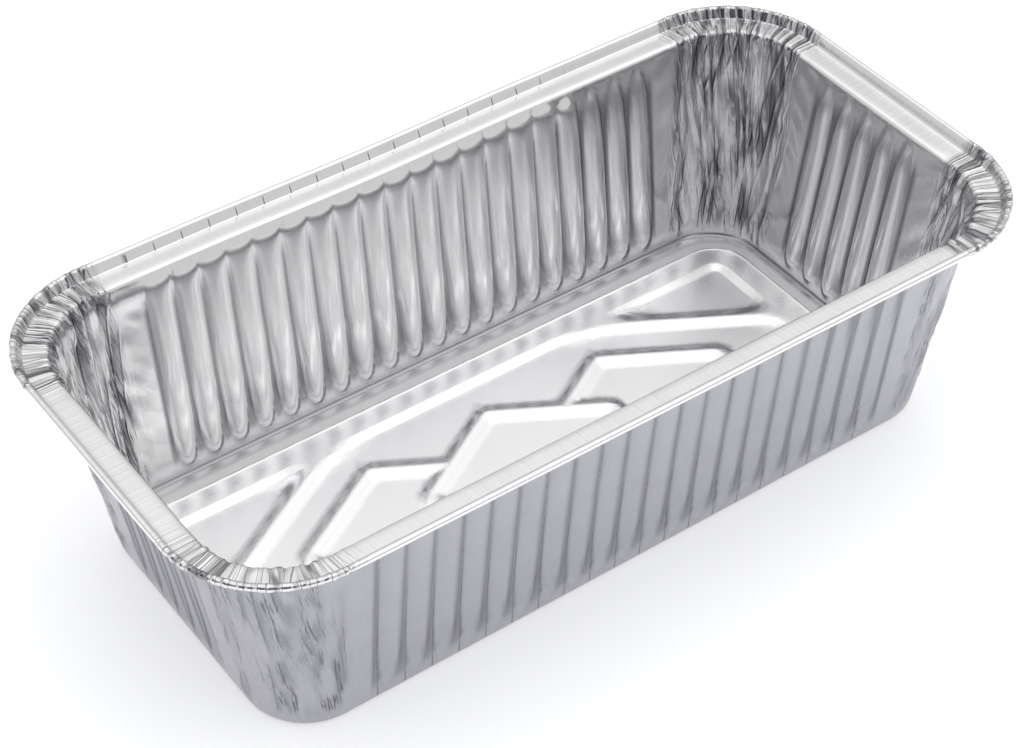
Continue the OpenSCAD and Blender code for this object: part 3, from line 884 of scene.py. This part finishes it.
# %% Slight waviness of thin metal, and the bow of the far side
wave_size = 22 * MM
wave = add(press, "ShaderNodeTexNoise", {"Vector": spot, "Scale": 1 / wave_size, "Detail": 2.0})["Fac"]
wave = add(press, "ShaderNodeMath", {0: wave, 1: 0.5}, operation="SUBTRACT")[0]
on_wall = add(press, "ShaderNodeMapRange", {
    "Value": known["height"], "From Min": 0.0, "From Max": 10 * MM, "To Min": 0.35, "To Max": 1.0,
})[0]
for share in (given["Waviness"], on_wall):
    wave = add(press, "ShaderNodeMath", {0: wave, 1: share}, operation="MULTIPLY")[0]
bow_x = -10 * MM
bow_reach = 45 * MM
bow_at = add(press, "ShaderNodeMath", {0: spot_parts["X"], 1: bow_x}, operation="SUBTRACT")[0]
bow_at = add(press, "ShaderNodeMath", {0: bow_at}, operation="ABSOLUTE")[0]
bow = add(press, "ShaderNodeMapRange", {
    "Value": bow_at, "From Min": 0.0, "From Max": bow_reach, "To Min": 1.0, "To Max": 0.0,
}, interpolation_type="SMOOTHSTEP")[0]
bow_side = add(press, "ShaderNodeMapRange", {
    "Value": spot_parts["Y"], "From Min": 0.8 * base_half[1], "From Max": base_half[1],
    "To Min": 0.0, "To Max": -1.0,
})[0]
bow_rise = add(press, "ShaderNodeMapRange", {
    "Value": known["height"], "From Min": 0.3 * flange_z, "From Max": flange_z,
    "To Min": 0.0, "To Max": 1.0,
}, interpolation_type="SMOOTHSTEP")[0]
for share in (bow_side, bow_rise, given["Far side bow"]):
    bow = add(press, "ShaderNodeMath", {0: bow, 1: share}, operation="MULTIPLY")[0]
bow = add(press, "ShaderNodeCombineXYZ", {"Y": bow})[0]
print("with waves and bow:", len(press.nodes), "nodes")

# %% Sum of the offsets
total = flute
for part in (raised, crumple, dimples, pleats, lumps, wave):
    total = add(press, "ShaderNodeMath", {0: total, 1: part})[0]
offset = add(press, "ShaderNodeVectorMath", {0: push, "Scale": total}, operation="SCALE")[0]
offset = add(press, "ShaderNodeVectorMath", {0: offset, 1: bow})[0]
pressed = add(press, "GeometryNodeSetPosition", {"Geometry": given["Geometry"], "Offset": offset})[0]
pressed = add(press, "GeometryNodeSetShadeSmooth", {"Geometry": pressed})[0]
for name, value in (("sheet_place", place), ("sheet_shares", shares), ("sheet_tones", tones)):
    pressed = add(press, "GeometryNodeStoreNamedAttribute", {
        "Geometry": pressed, "Name": name, "Value": value,
    }, data_type="FLOAT_VECTOR")[0]
pressed = add(press, "GeometryNodeStoreNamedAttribute", {
    "Geometry": pressed, "Name": "rim_strokes", "Value": stroke_shade_share,
}, data_type="FLOAT")[0]
pressed = add(press, "GeometryNodeRealizeInstances", {"Geometry": pressed})[0]
pressed = add(press, "GeometryNodeSetMaterial", {"Geometry": pressed, "Material": given["Foil"]})[0]
add(press, "NodeGroupOutput", {"Geometry": pressed})
print(len(press.nodes), "nodes in the press")

# %% [markdown]
# ## The metal
#
# Foil is rolled aluminium. In the last pass two sheets run through the mill together, so the sides that
# touch the steel rolls come out bright and the sides that touch each other come out matt. This pan has
# its bright side inside. Metal is nearly all reflection, so the tree bends it with fine creases, roughens
# it where the press has rubbed the sheet, and paints shade into its grooves, folds and creases and a pale
# sheen onto the flats of the floor. The bright side's base colour is aluminium's; the matt side's darker
# colour is partly its duller finish and partly painted shade. The metal keeps the default IOR, and every
# pattern has a size in millimetres. The lines of the rolls are finer than a pixel, so they are drawn at
# 0.35 mm, about as fine as can show.

# %% Sizes and tones of the metal
rolling_line = 0.35 * MM
rolling_stretch = 0.12
rolling_depth = 0.05 * MM
scuff_size = 9.0 * MM
floor_scuffing = 0.23
long_crease_w, short_crease_w = 2.8 * MM, 1.7 * MM
rim_stroke_w = 1.3 * MM
nick_from, nick_full = 3.3 * MM, 3.45 * MM
# The dark colours below are painted shade, for the nicks and for grooves, folds, strokes and lines
nick_shade_colour = "#4a4b52"
painted_shade_colour = "#54555d"
darkest_painted_shade = 0.95
# A thin line of painted shade beside each groove: its place, and the heights over which it fades
side_line_aside = 2.3 * MM
side_line_low, side_line_high = 22 * MM, 34 * MM
print("creases in mm:", round(long_crease_w / MM, 1), "and", round(short_crease_w / MM, 1))

# %% Rolled aluminium foil
def rolled_foil(name, dark, bright, flat_sheen_tone, smoothest, roughest, crease_depth,
                groove_shade_strength, fold_shade_strength, side_line_shade):
    """A side of the foil: its tones, its range of roughness, the depth of its creases, and how much painted
    shade darkens its grooves, folds and the lines beside its grooves."""
    material = bpy.data.materials.new(name)
    material.use_nodes = True
    tree = material.node_tree
    tree.nodes.clear()
    where = add(tree, "ShaderNodeTexCoord")["Object"]
    along = add(tree, "ShaderNodeMapping", {"Vector": where, "Scale": (1, 1, rolling_stretch)})[0]
    lines = add(tree, "ShaderNodeTexNoise", {
        "Vector": along, "Scale": 1 / rolling_line, "Detail": 2.0,
    })["Fac"]
    scuffs = add(tree, "ShaderNodeTexNoise", {
        "Vector": where, "Scale": 1 / scuff_size, "Detail": 6.0,
    })["Fac"]
    # What the press has left on the sheet
    place = add(tree, "ShaderNodeAttribute", attribute_name="sheet_place")["Vector"]
    shares = add(tree, "ShaderNodeAttribute", attribute_name="sheet_shares")["Vector"]
    shares = add(tree, "ShaderNodeSeparateXYZ", {"Vector": shares})
    tones = add(tree, "ShaderNodeAttribute", attribute_name="sheet_tones")["Vector"]
    tones = add(tree, "ShaderNodeSeparateXYZ", {"Vector": tones})
    rim_stroke_shade_share = add(tree, "ShaderNodeAttribute", attribute_name="rim_strokes")["Fac"]
    aside = add(tree, "ShaderNodeAttribute", attribute_name="flute_side")["Fac"]
    # Roughness and tone of plain foil
    rough = add(tree, "ShaderNodeMapRange", {
        "Value": scuffs, "From Min": 0.3, "From Max": 0.7, "To Min": smoothest, "To Max": roughest,
    })[0]
    rough = add(tree, "ShaderNodeMath", {
        0: tones["Y"], 1: floor_scuffing, 2: rough,
    }, operation="MULTIPLY_ADD")[0]
    tint = add(tree, "ShaderNodeMix", {0: scuffs, 6: linear(dark), 7: linear(bright)}, data_type="RGBA")[2]
    # Smooth foil lies between the creases, so only the tops of the waves are kept
    long_folds = fold_wave(tree, place, long_crease_w, 0.1, 4.0)
    short_folds = fold_wave(tree, place, short_crease_w, -0.18, 3.0)
    long_folds = add(tree, "ShaderNodeMapRange", {
        "Value": long_folds, "From Min": 0.3, "From Max": 1.0, "To Min": 0.0, "To Max": 1.0,
    })[0]
    # Thin lines of painted shade lie in the bottoms of the short folds
    thin_fold_shade = add(tree, "ShaderNodeMapRange", {
        "Value": short_folds, "From Min": -0.75, "From Max": -0.95, "To Min": 0.0, "To Max": 0.8,
    })[0]
    short_folds = add(tree, "ShaderNodeMapRange", {
        "Value": short_folds, "From Min": 0.4, "From Max": 1.0, "To Min": 0.0, "To Max": 0.6,
    })[0]
    creases = add(tree, "ShaderNodeMath", {0: long_folds, 1: short_folds}, operation="MAXIMUM")[0]
    creases = add(tree, "ShaderNodeMath", {0: creases, 1: shares["Z"]}, operation="MULTIPLY")[0]
    folded = add(tree, "ShaderNodeBump", {"Height": creases, "Strength": 1.0, "Distance": crease_depth})[0]
    # Painted shade: a short dark nick on the upstand wherever a groove meets it
    nick_shade = add(tree, "ShaderNodeMapRange", {
        "Value": shares["X"], "From Min": nick_from, "From Max": nick_full, "To Min": 0.0, "To Max": 0.8,
    })[0]
    nick_shade = add(tree, "ShaderNodeMath", {0: nick_shade, 1: shares["Y"]}, operation="MULTIPLY")[0]
    tint = add(tree, "ShaderNodeMix", {0: nick_shade, 6: tint, 7: linear(nick_shade_colour)}, data_type="RGBA")[2]
    # Thin strokes of painted shade where the rim is gathered round a corner
    stroke_shade = fold_wave(tree, place, rim_stroke_w, 0.0, 5.0)
    stroke_shade = add(tree, "ShaderNodeMapRange", {
        "Value": stroke_shade, "From Min": -0.7, "From Max": -0.9, "To Min": 0.0, "To Max": 0.75,
    })[0]
    stroke_shade = add(tree, "ShaderNodeMath", {0: stroke_shade, 1: rim_stroke_shade_share}, operation="MULTIPLY")[0]
    # Painted shade darkens the grooves and the bottoms of the folds
    groove = add(tree, "ShaderNodeMath", {0: tones["X"], 1: groove_shade_strength}, operation="MULTIPLY")[0]
    valley = add(tree, "ShaderNodeMath", {0: tones["Z"], 1: 0.3})[0]
    valley = add(tree, "ShaderNodeMath", {0: valley, 1: thin_fold_shade}, operation="MAXIMUM")[0]
    for share in (shares["Z"], fold_shade_strength):
        valley = add(tree, "ShaderNodeMath", {0: valley, 1: share}, operation="MULTIPLY")[0]
    # Painted shade draws a thin line beside each groove, in the lower half of the wall
    aside = add(tree, "ShaderNodeMath", {0: aside, 1: side_line_aside})[0]
    aside = add(tree, "ShaderNodeMath", {0: aside}, operation="ABSOLUTE")[0]
    side_line = add(tree, "ShaderNodeMapRange", {
        "Value": aside, "From Min": 0.1 * MM, "From Max": 0.3 * MM, "To Min": side_line_shade, "To Max": 0.0,
    })[0]
    up = add(tree, "ShaderNodeSeparateXYZ", {"Vector": place})["Y"]
    fading = add(tree, "ShaderNodeMapRange", {
        "Value": up, "From Min": side_line_low, "From Max": side_line_high, "To Min": 1.0, "To Max": 0.0,
    })[0]
    side_line = add(tree, "ShaderNodeMath", {0: side_line, 1: fading}, operation="MULTIPLY")[0]
    # All marks of painted shade join in one share, up to the darkest
    painted_shade = groove
    for mark in (valley, stroke_shade, side_line):
        painted_shade = add(tree, "ShaderNodeMath", {0: painted_shade, 1: mark}, operation="MAXIMUM")[0]
    painted_shade = add(tree, "ShaderNodeClamp", {"Value": painted_shade, "Max": darkest_painted_shade})[0]
    # The flats of the floor and its ring are painted paler, a painted sheen on metal that faces up
    flat = add(tree, "ShaderNodeClamp", {"Value": tones["Y"]})[0]
    tint = add(tree, "ShaderNodeMix", {0: flat, 6: tint, 7: linear(flat_sheen_tone)}, data_type="RGBA")[2]
    # The painted shade darkens the colour last
    tint = add(tree, "ShaderNodeMix", {0: painted_shade, 6: tint, 7: linear(painted_shade_colour)}, data_type="RGBA")[2]
    grained = add(tree, "ShaderNodeBump", {
        "Height": lines, "Strength": 0.08, "Distance": rolling_depth, "Normal": folded,
    })[0]
    shine = add(tree, "ShaderNodeBsdfPrincipled", {
        "Base Color": tint, "Metallic": 1.0, "Roughness": rough, "Normal": grained,
    })[0]
    add(tree, "ShaderNodeOutputMaterial", {"Surface": shine})
    print(name, len(tree.nodes), "nodes")
    return material


# %% The two sides of the foil
bright_side = rolled_foil(
    "rolled_foil_bright_side", "#ebebed", "#f5f5f5", "#fcfcfd",
    smoothest=0.15, roughest=0.21, crease_depth=0.3 * MM,
    groove_shade_strength=0.75, fold_shade_strength=0.7, side_line_shade=0.0,
)
# The matt side's darker colours are partly its duller finish and partly painted shade for the outside of
# the pan
matt_and_shaded_side = rolled_foil(
    "rolled_foil_matt_and_shaded_side", "#aeaeb4", "#c0c0c5", "#c0c0c5",
    smoothest=0.24, roughest=0.36, crease_depth=0.12 * MM,
    groove_shade_strength=0.6, fold_shade_strength=0.4, side_line_shade=0.6,
)

# %% [markdown]
# ## Stamping it out
#
# The ridge lines go in as a mesh of edges, which the tree rounds at the peaks and measures from. The
# modifier's inputs are set first, then Solidify makes the sheet thick inwards and gives the inside its
# own material. The evaluated result becomes a plain mesh, and the modifiers go.

# %% Lines for the ridges
ridge_mesh = bpy.data.meshes.new("ridge_lines")
line_points, line_edges = [], []
for line in ridge_lines:
    closed = Vector(line[0]) == Vector(line[-1])
    start = len(line_points)
    line_points += [(x, y, 0) for x, y in (line[:-1] if closed else line)]
    count = len(line_points) - start
    line_edges += [(start + i, start + (i + 1) % count) for i in range(count if closed else count - 1)]
ridge_mesh.from_pydata(line_points, line_edges, [])
ridge_object = bpy.data.objects.new("ridge_lines", ridge_mesh)
bpy.context.scene.collection.objects.link(ridge_object)
print(len(line_edges), "edges carry the ridges")

# %% Press the sheet and give it its thickness
modifier = pan.modifiers.new("press", "NODES")
modifier.node_group = press
names = {item.name: item.identifier for item in press.interface.items_tree if item.in_out == "INPUT"}
for name, value in press_values.items():
    modifier[names[name]] = value
modifier[names["Seed"]] = press_seed
modifier[names["Ridge lines"]] = ridge_object
modifier[names["Foil"]] = matt_and_shaded_side
thick = pan.modifiers.new("thickness", "SOLIDIFY")
thick.thickness = foil_t
thick.offset = -1
thick.material_offset = 1
thick.material_offset_rim = 1
# Large faces lead the shading, so flats stay flat and the narrow bends between them stay crisp
crisp = pan.modifiers.new("crisp_bends", "WEIGHTED_NORMAL")
crisp.mode = "FACE_AREA"

pan.data.materials.append(matt_and_shaded_side)
pan.data.materials.append(bright_side)

evaluated = pan.evaluated_get(bpy.context.evaluated_depsgraph_get())
finished = bpy.data.meshes.new_from_object(evaluated)
finished.name = "pan_foil"
pan.modifiers.clear()
pan.data = finished
bpy.data.objects.remove(ridge_object)
for name in (*facts, "push"):
    if name in finished.attributes and name != "flute_side":
        finished.attributes.remove(finished.attributes[name])
finished.calc_loop_triangles()
print("pan:", len(finished.loop_triangles), "triangles, materials", [m.name for m in finished.materials])

# %% The pan stands for its solid
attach(pan, "root")
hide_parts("pan")

# %% [markdown]
# ## Floor and light
#
# Metal shows what is round it, so the room matters more than the lamps. The pan stands on white paper
# in a bright room that gets brighter overhead. One darker patch, low at the front left, is what the
# far walls and the corners mirror, and it draws their flutes and folds in grey. Two large, weak lamps
# give the soft shadow on the paper.

# %% Floor
floor_size = 6.0
paper_glow = 0.4
floor_mesh = bpy.data.meshes.new("floor")
h = floor_size / 2
floor_mesh.from_pydata([(-h, -h, 0), (h, -h, 0), (h, h, 0), (-h, h, 0)], [], [(0, 1, 2, 3)])
floor = bpy.data.objects.new("floor", floor_mesh)
bpy.context.scene.collection.objects.link(floor)
paper = bpy.data.materials.new("white_paper")
paper.use_nodes = True
paper.node_tree.nodes.clear()
tree = paper.node_tree
matt = add(tree, "ShaderNodeBsdfDiffuse", {"Color": linear("#f8f9fb")})[0]
rays = add(tree, "ShaderNodeLightPath")
shown = rays["Is Camera Ray"]
for ray in (rays["Is Glossy Ray"], rays["Is Transmission Ray"]):
    shown = add(tree, "ShaderNodeMath", {0: shown, 1: ray}, operation="MAXIMUM")[0]
shown = add(tree, "ShaderNodeMath", {0: shown, 1: paper_glow}, operation="MULTIPLY")[0]
lift = add(tree, "ShaderNodeEmission", {"Color": (1, 1, 1, 1), "Strength": shown})[0]
both = add(tree, "ShaderNodeAddShader", {0: matt, 1: lift})[0]
add(tree, "ShaderNodeOutputMaterial", {"Surface": both})
floor_mesh.materials.append(paper)
floor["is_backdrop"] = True
print("floor in m:", floor_size)

# %% Room
world = bpy.data.worlds.new("room")
bpy.context.scene.world = world
world.use_nodes = True
world.node_tree.nodes.clear()
tree = world.node_tree
direction = add(tree, "ShaderNodeTexCoord")["Generated"]
# The dark patch is a direction, and how closely a ray must follow it to be in the dark or the light
dark_way = (-0.6, -0.7, 0.38)
fully_dark, fully_bright = 0.93, 0.7
low_level, high_level = 0.7, 1.2
towards = add(tree, "ShaderNodeVectorMath", {0: direction, 1: dark_way}, operation="DOT_PRODUCT")["Value"]
bright = add(tree, "ShaderNodeMapRange", {
    "Value": towards, "From Min": fully_dark, "From Max": fully_bright, "To Min": 0.0, "To Max": 1.0,
}, interpolation_type="SMOOTHSTEP")[0]
level = add(tree, "ShaderNodeSeparateXYZ", {"Vector": direction})["Z"]
level = add(tree, "ShaderNodeMapRange", {
    "Value": level, "From Min": 0.45, "From Max": 0.95, "To Min": low_level, "To Max": high_level,
}, interpolation_type="SMOOTHSTEP")[0]
room_colour = add(tree, "ShaderNodeMix", {
    0: bright, 6: linear("#6d6e7c"), 7: linear("#fdfdfc"),
}, data_type="RGBA")[2]
ambient = add(tree, "ShaderNodeBackground", {"Color": room_colour, "Strength": level})[0]
add(tree, "ShaderNodeOutputWorld", {"Surface": ambient})
print("room:", len(tree.nodes), "nodes")

# %% Lamps
def soft_lamp(name, at, size, power):
    """A square area lamp of a size in metres, aimed into the pan."""
    lamp = bpy.data.objects.new(name, bpy.data.lights.new(name, "AREA"))
    bpy.context.scene.collection.objects.link(lamp)
    lamp.data.shape = "SQUARE"
    lamp.data.size = size
    lamp.data.energy = power
    lamp.location = at
    lamp.rotation_euler = (lamp_aim - Vector(at)).to_track_quat("-Z", "Y").to_euler()
    print(name, "power in W:", power)


lamp_aim = Vector((0, 0, 0.02))
soft_lamp("right_softbox", (0.75, 0.15, 0.85), 0.9, 0.2)
soft_lamp("overhead_softbox", (0.47, -0.43, 0.9), 0.6, 0.5)
bpy.context.scene.view_settings.view_transform = "Standard"
# Foil mirrors foil many times over inside the pan, and light that is cut short would blacken the grooves
bpy.context.scene.cycles.glossy_bounces = 8

# %% Sizes of the finished scene
low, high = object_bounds()
print("visual box in mm:", [round(v / MM, 2) for v in (*low, *high)])
